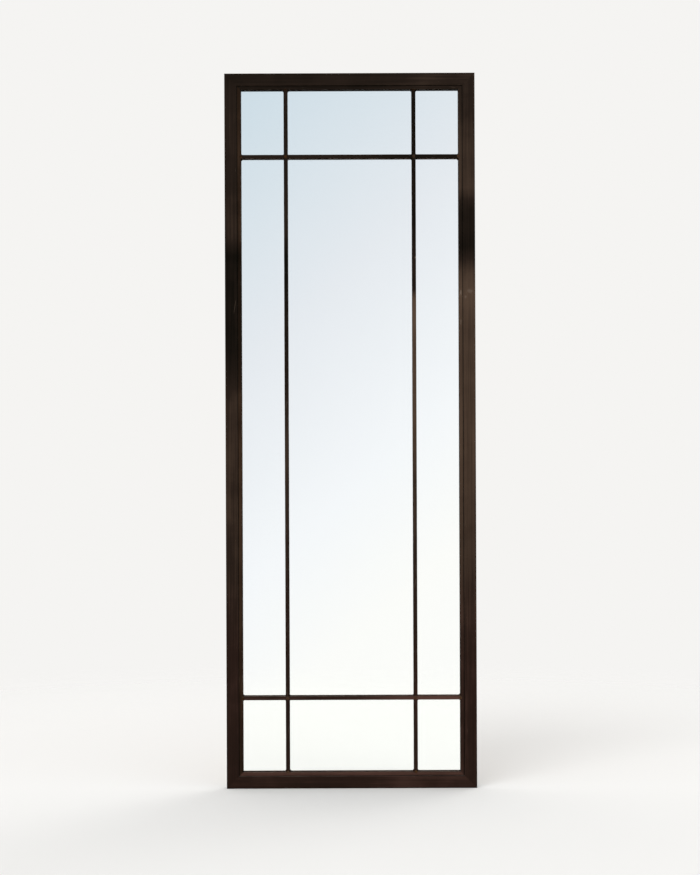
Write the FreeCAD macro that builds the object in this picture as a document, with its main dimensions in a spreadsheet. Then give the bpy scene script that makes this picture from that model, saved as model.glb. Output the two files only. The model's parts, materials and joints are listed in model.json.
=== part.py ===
import FreeCAD, Part
import Sketcher
import math
import os
import re

# Full-length wall mirror: a mitred frame of steel tube, an inner bead and a lattice of square bar,
# one sheet of mirror glass, and a back panel held by turn buttons.
# The front faces -Y, +Z is up, and the origin is the middle of the underside of the bottom rail.

# Driving sizes in millimetres, and angles in degrees.
SIZES = {
    # Outer frame of rectangular tube.
    "mirror_height": 2000,
    "mirror_width": 700,
    "tube_face": 35,
    "tube_depth": 25,
    "tube_wall": 1.5,
    "tube_corner": 2,
    # Square bar of the bead and the lattice, and how far it lies behind the tube's front face.
    "bar_width": 11,
    "bar_recess": 2,
    "bar_round": 1.2,
    # Clear sizes of the outer panes of the lattice.
    "side_pane": 119.5,
    "top_pane": 181.5,
    "bottom_pane": 201,
    # Fillets of weld in the corners between bars, up to their rounding, and a low spot on each joint.
    "crossing_weld_reach": 2,
    "end_weld_reach": 3.5,
    "weld_depth": 6,
    "weld_spot_radius": 4.2,
    "weld_spot_slope": 1.8,
    "weld_spot_rise": 0.8,
    # Glass and what beds it.
    "tape_thickness": 1,
    "tape_width": 6,
    "tape_setback": 0.5,
    "glass_thickness": 4,
    "glass_arris": 0.5,
    "glass_edge_gap": 3,
    "setting_block_length": 60,
    "spacer_length": 30,
    # Back.
    "card_thickness": 2,
    "back_clearance": 1,
    "panel_arris": 0.8,
    # Turn buttons: the pivot's distance from the tube's inner face and the lap over the panel.
    "button_inset": 11,
    "button_lap": 12,
    "button_head_radius": 7,
    "button_tip_radius": 5,
    "button_thickness": 1.5,
    "button_play": 0.2,
    # Pan-head screws.
    "screw_radius": 2,
    "screw_length": 11,
    "screw_point": 3,
    "screw_head_radius": 4,
    "screw_head_height": 2.4,
    "screw_head_slope": 1.4,
    "screw_clearance": 0.3,
    "pilot_clearance": 0.05,
    # D-ring hangers.
    "hanger_drop": 400,
    "strap_width": 15,
    "strap_thickness": 1.5,
    "strap_hole_gap": 2,
    "strap_hole_pitch": 16,
    "eye_clearance": 0.3,
    "eye_wrap": 290,
    "ring_wire": 4,
    "ring_play": 1.5,
    "ring_bend": 5,
    "ring_side": 4,
    # Rubber bumpers.
    "bumper_inset": 60,
    "bumper_height": 9,
    "bumper_base_radius": 9,
    "bumper_top_radius": 7,
    "bumper_round": 1.5,
    # Run of every cut past the face it leaves.
    "cut_overrun": 1,
}

# Places along a side, as shares of its length.
BUTTON_SHARES = (0.125, 0.375, 0.625, 0.875)
BEDDING_SHARES = (0.25, 0.75)

# Half the side of an octagon, as a share of the distance from its middle to that side.
OCTAGON_SHARE = "(sqrt(2) - 1)"

# Formulas in the names above that several pieces share.
FRAME_REAR = "(tube_depth / 2)"
BAR_FRONT = "(bar_recess - tube_depth / 2)"
BAR_MIDDLE = f"({BAR_FRONT} + bar_width / 2)"
TAPE_FRONT = f"({BAR_FRONT} + bar_width)"
GLASS_FRONT = f"({TAPE_FRONT} + tape_thickness)"
CARD_FRONT = f"({GLASS_FRONT} + glass_thickness)"
PANEL_FRONT = f"({CARD_FRONT} + card_thickness)"
SIGHT_INSET = "(tube_face + bar_width)"
SIGHT_WIDTH = f"(mirror_width - 2 * {SIGHT_INSET})"
SIGHT_HEIGHT = f"(mirror_height - 2 * {SIGHT_INSET})"
SIDE_BAR_PLACE = f"({SIGHT_WIDTH} / 2 - side_pane - bar_width / 2)"
UPPER_BAR_PLACE = f"(mirror_height - {SIGHT_INSET} - top_pane - bar_width / 2)"
LOWER_BAR_PLACE = f"({SIGHT_INSET} + bottom_pane + bar_width / 2)"
GLASS_INSET = "(tube_face + glass_edge_gap)"
GLASS_WIDTH = f"(mirror_width - 2 * {GLASS_INSET})"
BACK_INSET = "(tube_face + back_clearance)"
BUTTON_REACH = "(button_inset + button_lap)"
BUTTON_FRONT = f"({FRAME_REAR} + button_play)"
BUTTON_SCREW_SEAT = f"({BUTTON_FRONT} + button_thickness + button_play)"
STRAP_SCREW_SEAT = f"({FRAME_REAR} + strap_thickness)"
EYE_RADIUS = "(ring_wire / 2 + eye_clearance + strap_thickness)"
RING_HALF_BAR = "(strap_width / 2 + ring_play)"
RING_HALF_WIDTH = f"({RING_HALF_BAR} + ring_bend)"
RING_REACH = f"(ring_bend + ring_side + {RING_HALF_WIDTH})"
HANGER_SIDE = "(mirror_width / 2 - tube_face / 2)"
HANGER_HEIGHT = "(mirror_height - hanger_drop)"
STRAP_HOLE_UPPER = f"({RING_REACH} + ring_wire / 2 + strap_hole_gap + screw_head_radius)"
STRAP_HOLE_LOWER = f"({STRAP_HOLE_UPPER} + strap_hole_pitch)"

# A quarter turn about Y carries each side of a frame to the next: left, top, right, bottom.
LEFT, TOP, RIGHT, BOTTOM = 0, 90, 180, 270
SIDES = (("left", LEFT), ("top", TOP), ("right", RIGHT), ("bottom", BOTTOM))

doc = FreeCAD.newDocument("Mirror")
sheet = doc.addObject("Spreadsheet::Sheet", "Sizes")
for row, (name, number) in enumerate(SIZES.items(), start=1):
    sheet.set(f"A{row}", name.replace("_", " "))
    sheet.set(f"B{row}", str(number))
    sheet.setAlias(f"B{row}", name)
doc.recompute()

pieces = []


def formula(text):
    """Write a formula in size names as an expression on the sheet."""
    return re.sub(r"[a-z_]+", lambda word: f"Sizes.{word[0]}" if word[0] in SIZES else word[0], text)


def size(text):
    """Work out a formula in size names."""
    return float(sheet.evalExpression(formula(text)))


def point(across, along):
    return FreeCAD.Vector(size(across), size(along), 0)


def opposite(text):
    return f"-({text})"


def seat(item, across, depth, height, turn=LEFT):
    """Turn an object about Y and bind its place to the sheet."""
    item.Placement = FreeCAD.Placement(FreeCAD.Vector(), FreeCAD.Rotation(FreeCAD.Vector(0, 1, 0), turn))
    for axis, text in zip("xyz", (across, depth, height)):
        item.setExpression(f"Placement.Base.{axis}", formula(text))


def new_body(label, keep=True):
    body = doc.addObject("PartDesign::Body", label)
    body.Label = label
    if keep:
        pieces.append(body)
    return body


def new_sketch(body, name, role):
    """Add a sketch on one of the body's own origin planes."""
    sketch = body.newObject("Sketcher::SketchObject", name)
    plane = next(item for item in body.Origin.OriginFeatures if item.Role == role)
    sketch.AttachmentSupport = (plane, [""])
    sketch.MapMode = "FlatFace"
    return sketch


def hold(sketch, direction, geometry, end, text):
    """Bind one coordinate of a sketched point to the sheet."""
    index = sketch.addConstraint(Sketcher.Constraint(direction, geometry, end, size(text)))
    sketch.setExpression(f"Constraints[{index}]", formula(text))


def trace(sketch, corners, arcs=None):
    """Draw a closed outline; arcs gives a side's centre, its held coordinate and its way round."""
    arcs = arcs or {}
    sides = []
    for number, corner in enumerate(corners):
        begin = point(*corner)
        finish = point(*corners[(number + 1) % len(corners)])
        if number not in arcs:
            sides.append((sketch.addGeometry(Part.LineSegment(begin, finish), False), 1, 2))
            continue
        centre, held, way = arcs[number]
        middle = point(*centre)
        circle = Part.Circle(middle, FreeCAD.Vector(0, 0, 1), (begin - middle).Length)
        angles = [math.atan2(*(spot - middle)[1::-1]) for spot in (begin, finish)]
        if way == "clockwise":
            angles.reverse()
        arc = sketch.addGeometry(Part.ArcOfCircle(circle, *angles), False)
        sides.append((arc, 2, 1) if way == "clockwise" else (arc, 1, 2))
    for number, (geometry, start, end) in enumerate(sides):
        following, following_start, _ = sides[(number + 1) % len(sides)]
        sketch.addConstraint(Sketcher.Constraint("Coincident", geometry, end, following, following_start))
    for number, (geometry, start, end) in enumerate(sides):
        hold(sketch, "DistanceX", geometry, start, corners[number][0])
        hold(sketch, "DistanceY", geometry, start, corners[number][1])
        if number in arcs:
            centre, held, way = arcs[number]
            hold(sketch, f"Distance{held}", geometry, 3, centre["XY".index(held)])


def trace_box(sketch, left, right, low, high):
    trace(sketch, [(left, low), (right, low), (right, high), (left, high)])


def trace_circle(sketch, across, along, radius):
    circle = Part.Circle(point(across, along), FreeCAD.Vector(0, 0, 1), size(radius))
    geometry = sketch.addGeometry(circle, False)
    hold(sketch, "DistanceX", geometry, 3, across)
    hold(sketch, "DistanceY", geometry, 3, along)
    index = sketch.addConstraint(Sketcher.Constraint("Radius", geometry, size(radius)))
    sketch.setExpression(f"Constraints[{index}]", formula(radius))


def pad(body, sketch, length, side="One side", backwards=False):
    feature = body.newObject("PartDesign::Pad", "pad")
    feature.Profile = sketch
    feature.SideType = side
    feature.Reversed = backwards
    feature.setExpression("Length", formula(length))
    doc.recompute()
    return feature


def cut_through(body, sketch, side="One side", backwards=False):
    """Pocket through all, and stop if nothing was cut."""
    before = body.Tip.Shape.Volume
    feature = body.newObject("PartDesign::Pocket", "cut")
    feature.Profile = sketch
    feature.Type = "ThroughAll"
    feature.SideType = side
    feature.Reversed = backwards
    doc.recompute()
    if not feature.Shape.Volume < before:
        raise RuntimeError(f"a cut in {body.Label} removes nothing")
    return feature


def revolve(body, sketch, axis, angle="360"):
    feature = body.newObject("PartDesign::Revolution", "turned")
    feature.Profile = sketch
    feature.ReferenceAxis = (sketch, [axis])
    feature.setExpression("Angle", formula(angle))
    doc.recompute()
    return feature


def soften(body, kind, amount, wanted):
    """Fillet or chamfer the edges of the body that the test picks."""
    base = body.Tip
    names = [f"Edge{n}" for n, edge in enumerate(base.Shape.Edges, start=1) if wanted(edge)]
    feature = body.newObject(f"PartDesign::{kind}", "softened")
    feature.Base = (base, names)
    feature.setExpression("Radius" if kind == "Fillet" else "Size", formula(amount))
    doc.recompute()
    return feature


def runs_along(edge, axis):
    """Tell whether a straight edge runs along one of the body's own axes."""
    straight = isinstance(edge.Curve, Part.Line)
    return straight and edge.Curve.Direction.isParallel(FreeCAD.Vector(*axis), math.radians(1))


def is_rim(edge, level):
    """Tell whether an edge is a circle behind a given level along Y."""
    return isinstance(edge.Curve, Part.Circle) and edge.Curve.Center.y > size(level)


def copies(label, master, places, keep=True):
    """Group copies of one turned piece, each with its axis along Y, as one node."""
    links = []
    for number, place in enumerate(places, start=1):
        link = doc.addObject("App::Link", f"{label}_{number}")
        link.LinkedObject = master
        seat(link, *place)
        links.append(link)
    return group(label, links, keep)


def group(label, members, keep=True):
    bundle = doc.addObject("Part::Compound", label)
    bundle.Label = label
    bundle.Links = members
    if keep:
        pieces.append(bundle)
    return bundle


def block(name, across, depth, height, length, width, rise):
    """Make a plain strip or block with its middle at the given place."""
    box = doc.addObject("Part::Box", name)
    box.setExpression("Length", formula(length))
    box.setExpression("Width", formula(width))
    box.setExpression("Height", formula(rise))
    seat(box, f"{across} - {length} / 2", depth, f"{height} - {rise} / 2")
    return box


def side_place(turn, inset):
    """Give the middle of one side of the frame, measured inwards from the outer edge."""
    return {
        LEFT: (f"{inset} - mirror_width / 2", "mirror_height / 2"),
        TOP: ("0", f"mirror_height - {inset}"),
        RIGHT: (f"mirror_width / 2 - {inset}", "mirror_height / 2"),
        BOTTOM: ("0", inset),
    }[turn]


def side_length(turn, inset):
    overall = "mirror_height" if turn in (LEFT, RIGHT) else "mirror_width"
    return f"({overall} - 2 * {inset})"


def cut_mitres(body, width, length):
    """Cut both ends of a side at 45 degrees, from its outer edge inwards."""
    sketch = new_sketch(body, "mitres", "XZ_Plane")
    outer = "-cut_overrun"
    inner = f"{width} + cut_overrun"
    for end in (1, -1):
        tip = f"{end} * ({length} / 2 + cut_overrun)"
        heel = f"{end} * ({length} / 2 - {width} - cut_overrun)"
        trace(sketch, [(outer, tip), (inner, tip), (inner, heel)])
    cut_through(body, sketch, "Symmetric")


def frame_tube(label, turn, holes):
    """Build one mitred side of the outer frame, with pilot holes in its rear wall."""
    body = new_body(label)
    length = side_length(turn, "0")
    section = new_sketch(body, "section", "XY_Plane")
    trace_box(section, "0", "tube_face", "-tube_depth / 2", FRAME_REAR)
    pad(body, section, length, "Symmetric")
    soften(body, "Fillet", "tube_corner", lambda edge: runs_along(edge, (0, 0, 1)))
    bore = new_sketch(body, "bore", "XY_Plane")
    trace_box(bore, "tube_wall", "tube_face - tube_wall",
              "tube_wall - tube_depth / 2", "tube_depth / 2 - tube_wall")
    cut_through(body, bore, "Symmetric")
    cut_mitres(body, "tube_face", length)
    pilots = new_sketch(body, "pilots", "XZ_Plane")
    for across, along in holes:
        trace_circle(pilots, across, along, "screw_radius + pilot_clearance")
    cut_through(body, pilots)
    across, height = side_place(turn, "0")
    seat(body, across, "0", height, turn)
    return body


def square_bar(label, left, length):
    """Start a square bar along the body's own Z, with its front edges rounded."""
    body = new_body(label)
    section = new_sketch(body, "section", "XY_Plane")
    trace_box(section, left, f"{left} + bar_width", "-bar_width / 2", "bar_width / 2")
    pad(body, section, length, "Symmetric")
    soften(body, "Fillet", "bar_round",
           lambda edge: runs_along(edge, (0, 0, 1)) and edge.CenterOfMass.y < 0)
    return body


def bead(label, turn):
    """Build one mitred side of the bead that lines the tubes."""
    length = side_length(turn, "tube_face")
    body = square_bar(label, "0", length)
    cut_mitres(body, "bar_width", length)
    across, height = side_place(turn, "tube_face")
    seat(body, across, BAR_MIDDLE, height, turn)
    return body


def glazing_bar(label, length, crossings, from_front, across, height, turn):
    """Build a bar of the lattice, halved where it crosses the others."""
    body = square_bar(label, "-bar_width / 2", length)
    notches = new_sketch(body, "notches", "XZ_Plane")
    for place in crossings:
        trace_box(notches, "-bar_width / 2 - cut_overrun", "bar_width / 2 + cut_overrun",
                  f"{place} - bar_width / 2", f"{place} + bar_width / 2")
    cut_through(body, notches, backwards=from_front)
    seat(body, across, BAR_MIDDLE, height, turn)
    return body


def fillet_blank(label, reach):
    """Pad a square on its corner, which leaves a fillet of weld in each corner that the bars form."""
    body = new_body(label, keep=False)
    outline = new_sketch(body, "outline", "XZ_Plane")
    outline.setExpression("AttachmentOffset.Base.z", formula("-bar_round"))
    trace(outline, [(reach, "0"), ("0", reach), (opposite(reach), "0"), ("0", opposite(reach))])
    pad(body, outline, "weld_depth - bar_round", backwards=True)
    return body


def weld_spot():
    """Loft a low eight-sided spot of weld, with its base at zero."""
    body = new_body("weld_spot", keep=False)
    sections = []
    for radius, forward in (("weld_spot_radius", "0"),
                            ("(weld_spot_radius - weld_spot_slope)", "weld_spot_rise")):
        section = new_sketch(body, "section", "XZ_Plane")
        section.setExpression("AttachmentOffset.Base.z", formula(forward))
        half = f"{radius} * {OCTAGON_SHARE}"
        left, low = opposite(radius), opposite(half)
        trace(section, [(radius, low), (radius, half), (half, radius), (low, radius),
                        (left, half), (left, low), (low, left), (half, left)])
        sections.append(section)
    spot = body.newObject("PartDesign::AdditiveLoft", "spot")
    spot.Profile = sections[0]
    spot.Sections = sections[1:]
    spot.Ruled = True
    doc.recompute()
    return body


def welds(label, blank, spot, places, carriers):
    """Fill the corners at each place with weld, cut to the bars, and set a spot on the joint."""
    blanks = copies(f"{label}_blanks", blank, places, keep=False)
    fillets = doc.addObject("Part::Cut", f"{label}_fillets")
    fillets.Base = blanks
    fillets.Tool = carriers
    spots = copies(f"{label}_spots", spot, places, keep=False)
    return group(label, [fillets, spots])


def sheet_body(label, inset, front, thickness):
    """Build a flat sheet whose edges lie a given inset from the frame's outer edge."""
    body = new_body(label)
    outline = new_sketch(body, "outline", "XZ_Plane")
    trace_box(outline, f"{inset} - mirror_width / 2", f"mirror_width / 2 - {inset}",
              inset, f"mirror_height - {inset}")
    pad(body, outline, thickness, backwards=True)
    seat(body, "0", front, "0")
    return body


def turn_button(label, across, height, turn):
    """Build a flat teardrop button, whose tip lies over the panel."""
    body = new_body(label)
    outline = new_sketch(body, "outline", "XZ_Plane")
    tip = f"({BUTTON_REACH} - button_tip_radius)"
    lean = f"((button_head_radius - button_tip_radius) / {tip})"
    rise = f"sqrt(1 - {lean} ^ 2)"
    head_across, head_along = f"button_head_radius * {lean}", f"button_head_radius * {rise}"
    tip_across, tip_along = f"{tip} + button_tip_radius * {lean}", f"button_tip_radius * {rise}"
    corners = [(head_across, head_along), (head_across, opposite(head_along)),
               (tip_across, opposite(tip_along)), (tip_across, tip_along)]
    trace(outline, corners, {0: (("0", "0"), "X", "counter"), 2: ((tip, "0"), "X", "counter")})
    trace_circle(outline, "0", "0", "screw_radius + screw_clearance")
    pad(body, outline, "button_thickness", backwards=True)
    seat(body, across, BUTTON_FRONT, height, turn)
    return body


def pan_head_screw():
    """Turn a pan-head screw about Y, with the underside of its head at zero."""
    body = new_body("screw", keep=False)
    profile = new_sketch(body, "profile", "XY_Plane")
    trace(profile, [("0", "-screw_length"), ("screw_radius", "screw_point - screw_length"),
                    ("screw_radius", "0"), ("screw_head_radius", "0"),
                    ("screw_head_radius", "screw_head_height - screw_head_slope"),
                    ("screw_head_radius - screw_head_slope", "screw_head_height"),
                    ("0", "screw_head_height")])
    revolve(body, profile, "V_Axis")
    return body


def hanger_strap(label, across):
    """Build a strap with a round end, two holes and an eye rolled at its top."""
    body = new_body(label)
    half = "strap_width / 2"
    plate = new_sketch(body, "plate", "XZ_Plane")
    end = opposite(STRAP_HOLE_LOWER)
    trace(plate, [(opposite(half), "0"), (opposite(half), end), (half, end), (half, "0")],
          {1: (("0", end), "Y", "counter")})
    for place in (STRAP_HOLE_UPPER, STRAP_HOLE_LOWER):
        trace_circle(plate, "0", opposite(place), "screw_radius + screw_clearance")
    pad(body, plate, "strap_thickness", backwards=True)
    lip = new_sketch(body, "lip", "XY_Plane")
    trace_box(lip, opposite(half), half, "0", "strap_thickness")
    begin, finish = point(half, EYE_RADIUS), point(opposite(half), EYE_RADIUS)
    axis = lip.addGeometry(Part.LineSegment(begin, finish), True)
    for end, across_end in ((1, half), (2, opposite(half))):
        hold(lip, "DistanceX", axis, end, across_end)
        hold(lip, "DistanceY", axis, end, EYE_RADIUS)
    revolve(body, lip, "Axis0", "eye_wrap")
    seat(body, across, FRAME_REAR, HANGER_HEIGHT)
    return body


def hanger_ring(label, across):
    """Bend a D-ring from round wire, hanging from the straight bar that lies in the eye."""
    body = new_body(label)
    route = new_sketch(body, "route", "XZ_Plane")
    shoulder = "-ring_bend"
    hip = "-(ring_bend + ring_side)"
    left, right = opposite(RING_HALF_WIDTH), RING_HALF_WIDTH
    bar_left, bar_right = opposite(RING_HALF_BAR), RING_HALF_BAR
    trace(route, [(bar_left, "0"), (bar_right, "0"), (right, shoulder),
                  (right, hip), (left, hip), (left, shoulder)],
          {1: ((bar_right, shoulder), "X", "clockwise"),
           3: (("0", hip), "Y", "clockwise"),
           5: ((bar_left, shoulder), "X", "clockwise")})
    wire = new_sketch(body, "wire", "YZ_Plane")
    trace_circle(wire, "0", "0", "ring_wire / 2")
    sweep = body.newObject("PartDesign::AdditivePipe", "bent_wire")
    sweep.Profile = wire
    sweep.Spine = (route, [f"Edge{n}" for n in range(1, route.GeometryCount + 1)])
    doc.recompute()
    seat(body, across, f"{FRAME_REAR} + {EYE_RADIUS}", HANGER_HEIGHT)
    return body


def rubber_bumper():
    """Turn a tapered bumper about Y, with its base at zero."""
    body = new_body("bumper", keep=False)
    profile = new_sketch(body, "profile", "XY_Plane")
    trace(profile, [("0", "0"), ("bumper_base_radius", "0"),
                    ("bumper_top_radius", "bumper_height"), ("0", "bumper_height")])
    revolve(body, profile, "V_Axis")
    soften(body, "Fillet", "bumper_round", lambda edge: is_rim(edge, "bumper_height / 2"))
    return body


# Outer frame. The stiles take four buttons and a hanger each, the rails one button each.
button_line = "tube_face - button_inset"
rail_holes = [(button_line, "0")]
for side, turn in SIDES:
    if turn in (TOP, BOTTOM):
        frame_tube(f"{side}_rail", turn, rail_holes)
        continue
    holes = [(button_line, f"({share} - 0.5) * mirror_height") for share in BUTTON_SHARES]
    upward = "" if turn == LEFT else "-"
    for drop in (STRAP_HOLE_UPPER, STRAP_HOLE_LOWER):
        holes.append(("tube_face / 2", f"{upward}({HANGER_HEIGHT} - {drop} - mirror_height / 2)"))
    frame_tube(f"{side}_stile", turn, holes)

# Bead and lattice of square bar.
for side, turn in SIDES:
    bead(f"{side}_bead", turn)
bar_heights = [f"({place} - mirror_height / 2)" for place in (LOWER_BAR_PLACE, UPPER_BAR_PLACE)]
bar_sides = [opposite(SIDE_BAR_PLACE), SIDE_BAR_PLACE]
for side, across in zip(("left", "right"), bar_sides):
    glazing_bar(f"{side}_bar", SIGHT_HEIGHT, bar_heights, True, across, "mirror_height / 2", LEFT)
for side, height in (("upper", UPPER_BAR_PLACE), ("lower", LOWER_BAR_PLACE)):
    glazing_bar(f"{side}_bar", SIGHT_WIDTH, bar_sides, False, "0", height, TOP)

# Welds at the crossings and at the ends of the bars.
carriers = doc.addObject("Part::MultiFuse", "welded_bars")
carriers.Shapes = list(pieces)
crossing_places = []
end_places = []
for across in bar_sides:
    for height in (LOWER_BAR_PLACE, UPPER_BAR_PLACE):
        crossing_places.append((across, BAR_FRONT, height))
    for height in (SIGHT_INSET, f"mirror_height - {SIGHT_INSET}"):
        end_places.append((across, BAR_FRONT, height))
for height in (LOWER_BAR_PLACE, UPPER_BAR_PLACE):
    for across in (f"-{SIGHT_WIDTH} / 2", f"{SIGHT_WIDTH} / 2"):
        end_places.append((across, BAR_FRONT, height))
spot = weld_spot()
crossing_blank = fillet_blank("crossing_blank", "(bar_width + crossing_weld_reach)")
end_blank = fillet_blank("end_blank", "(bar_width / 2 + end_weld_reach)")
welds("crossing_welds", crossing_blank, spot, crossing_places, carriers)
welds("bar_end_welds", end_blank, spot, end_places, carriers)

# Glass and its bedding.
glass = sheet_body("mirror_glass", GLASS_INSET, GLASS_FRONT, "glass_thickness")
soften(glass, "Chamfer", "glass_arris", lambda edge: not runs_along(edge, (0, 1, 0)))
strips = []
tape_line = f"({SIGHT_INSET} - tape_setback - tape_width / 2)"
for side, turn in SIDES:
    across, height = side_place(turn, tape_line)
    upright = turn in (LEFT, RIGHT)
    joint_inset = f"({tape_line} {'-' if upright else '+'} tape_width / 2)"
    run = side_length(turn, joint_inset)
    length, rise = ("tape_width", run) if upright else (run, "tape_width")
    strips.append(block(f"{side}_tape", across, TAPE_FRONT, height, length, "tape_thickness", rise))
group("glazing_tape", strips)
bed = ("glass_thickness", "glass_edge_gap")
edge_line = "(tube_face + glass_edge_gap / 2)"
blocks = []
spacers = []
for number, share in enumerate(BEDDING_SHARES, start=1):
    across = f"({share} - 0.5) * {GLASS_WIDTH}"
    height = f"{share} * mirror_height"
    blocks.append(block(f"block_{number}", across, GLASS_FRONT, edge_line, "setting_block_length", *bed))
    spacers.append(block(f"top_spacer_{number}", across, GLASS_FRONT, f"mirror_height - {edge_line}",
                         "spacer_length", *bed))
    for side, turn in (("left", LEFT), ("right", RIGHT)):
        edge, _ = side_place(turn, edge_line)
        spacers.append(block(f"{side}_spacer_{number}", edge, GLASS_FRONT, height,
                             "glass_edge_gap", "glass_thickness", "spacer_length"))
group("setting_blocks", blocks)
group("edge_spacers", spacers)

# Card liner and back panel, which fills the rebate flush with the tubes' rear faces.
sheet_body("card_liner", BACK_INSET, CARD_FRONT, "card_thickness")
panel_thickness = f"({FRAME_REAR} - {PANEL_FRONT})"
panel = sheet_body("back_panel", BACK_INSET, PANEL_FRONT, panel_thickness)
soften(panel, "Chamfer", "panel_arris", lambda edge: edge.BoundBox.YMin > size(f"{panel_thickness} / 2"))

# Turn buttons and their screws.
screw = pan_head_screw()
button_screw_places = []
pivot_line = "(tube_face - button_inset)"
for side, turn in SIDES:
    across, height = side_place(turn, pivot_line)
    if turn in (TOP, BOTTOM):
        turn_button(f"turn_button_{side}", across, height, turn)
        button_screw_places.append((across, BUTTON_SCREW_SEAT, height))
        continue
    for number, share in enumerate(BUTTON_SHARES, start=1):
        height = f"{share} * mirror_height"
        turn_button(f"turn_button_{side}_{number}", across, height, turn)
        button_screw_places.append((across, BUTTON_SCREW_SEAT, height))
copies("button_screws", screw, button_screw_places)

# Hangers, their screws and the bumpers, all on the stiles' rear faces.
hanger_screw_places = []
bumper_places = []
for side, across in (("left", opposite(HANGER_SIDE)), ("right", HANGER_SIDE)):
    hanger_strap(f"{side}_hanger_strap", across)
    hanger_ring(f"{side}_hanger_ring", across)
    for drop in (STRAP_HOLE_UPPER, STRAP_HOLE_LOWER):
        hanger_screw_places.append((across, STRAP_SCREW_SEAT, f"{HANGER_HEIGHT} - {drop}"))
    for height in ("bumper_inset", "mirror_height - bumper_inset"):
        bumper_places.append((across, FRAME_REAR, height))
copies("hanger_screws", screw, hanger_screw_places)
copies("wall_bumpers", rubber_bumper(), bumper_places)

# Every object has to be sound before anything is written.
doc.recompute()
for item in doc.Objects:
    if "Invalid" in item.State or "Error" in item.State:
        raise RuntimeError(f"{item.Label} failed: {item.State}")
for piece in pieces:
    if piece.Shape.isNull() or not piece.Shape.isValid():
        raise RuntimeError(f"{piece.Label} has no sound shape")

os.makedirs("parts", exist_ok=True)
for piece in pieces:
    piece.Shape.exportStep(os.path.join("parts", f"{piece.Label}.step"))
    print(f"{piece.Label}: {len(piece.Shape.Solids)} solids, {piece.Shape.Volume:.1f} mm3")
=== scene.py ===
# Looks of the full-length mirror: a bronzed steel frame with a lattice of square bars over one sheet
# of mirror glass, and the board, buttons, hangers and bumpers on its back.
import json
import math

import bpy
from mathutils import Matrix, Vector


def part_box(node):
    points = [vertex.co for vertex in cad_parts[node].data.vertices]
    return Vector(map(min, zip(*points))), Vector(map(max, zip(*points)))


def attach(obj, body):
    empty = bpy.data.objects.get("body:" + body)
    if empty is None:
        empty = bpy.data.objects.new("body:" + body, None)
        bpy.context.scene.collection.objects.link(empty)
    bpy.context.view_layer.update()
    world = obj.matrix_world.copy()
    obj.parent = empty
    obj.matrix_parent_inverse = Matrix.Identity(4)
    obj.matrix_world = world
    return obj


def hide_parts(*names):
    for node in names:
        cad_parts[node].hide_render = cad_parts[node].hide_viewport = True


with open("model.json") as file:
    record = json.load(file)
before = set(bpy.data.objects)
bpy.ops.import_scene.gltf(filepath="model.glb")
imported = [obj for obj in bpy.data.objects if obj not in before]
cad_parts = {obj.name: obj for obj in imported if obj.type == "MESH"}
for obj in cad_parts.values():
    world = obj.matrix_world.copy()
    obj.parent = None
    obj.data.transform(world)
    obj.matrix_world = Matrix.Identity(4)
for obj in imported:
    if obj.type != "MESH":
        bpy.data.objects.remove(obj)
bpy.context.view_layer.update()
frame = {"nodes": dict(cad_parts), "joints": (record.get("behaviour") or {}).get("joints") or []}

MM = 0.001
X = Vector((1, 0, 0))
Y = Vector((0, 1, 0))
Z = Vector((0, 0, 1))
ALONG_Y = (-math.pi / 2, 0, 0)

# Sizes read off the CAD nodes
stile_low, stile_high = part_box("left_stile")
bar_low, bar_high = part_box("left_bar")
glass_low, glass_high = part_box("mirror_glass")
bead_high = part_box("left_bead")[1]
frame_front = stile_low.y
frame_rear = stile_high.y
bar_width = bar_high.x - bar_low.x
bar_middle = (bar_low.y + bar_high.y) / 2
frame_height = stile_high.z - stile_low.z
frame_half = -stile_low.x

# Finishing sizes that the CAD leaves sharp or coarse
TUBE_ROUND = 2.0 * MM
BAR_ROUND = 1.2 * MM
SEAM_BREAK = 0.1 * MM
STAMPED_EDGE = 0.3 * MM
ROLLED_EDGE = 0.2 * MM
GLASS_ARRIS = 0.5 * MM
SILVER_CLEAR = 0.05 * MM

# Hand work: how uneven the bars and welds are, and how far apart their marks
BAR_UNEVEN = 0.5 * MM
BAR_MARKS = 45 * MM
WELD_UNEVEN = 0.4 * MM
WELD_MARKS = 3.5 * MM

# Welds: corners of weld, and the place and height of each ripple of a run as shares of its radius
END_FILLET = 3.5 * MM
FILLET_ROUND = 1.5 * MM
RIPPLE_SHARES = ((-0.42, 0.86), (0.0, 1.0), (0.42, 0.9))
RIPPLE_WIDTH_SHARE = 0.58

# Screws, with the cross slot as shares of the head, and how far each next screw is turned
SCREW_SHANK = 2.0 * MM
SCREW_HOLE = 2.25 * MM
SCREW_HEAD = 4.0 * MM
HEAD_HEIGHT = 2.4 * MM
HEAD_DOME = 1.5 * MM
SLOT_REACH_SHARE = 0.55
SLOT_WIDTH_SHARE = 0.14
SLOT_FLOOR_SHARE = 0.4
SLOT_EDGE = 0.12 * MM
SCREW_TURN = 0.9
HANGER_SCREW_TURN = 1.3
FIRST_TURN = 0.5

# Buttons, hangers and bumpers, with the bumper's dish as shares of its size
BUTTON_TIP = 5 * MM
EYE_WRAP = math.radians(290)
RING_BEND = 5 * MM
BUMPER_BASE = 9 * MM
BUMPER_TOP = 7 * MM
BUMPER_RIM = 1.0 * MM
BUMPER_FOOT = 0.5 * MM
DISH_RIM_SHARE = 0.45
DISH_DEPTH_SHARE = 0.35
DISH_TAPER_SHARE = 0.85

# What counts as touching, as one point, as a sharp edge, as flat, as square, as facing, as parallel
NEAR = 0.01 * MM
DOUBLED = 0.002 * MM
SHARP = math.radians(50)
FLAT = math.radians(2)
SQUARE = 1e-9
FACING = 0.9
PARALLEL = 0.999


# Selecting and shaping

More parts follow.
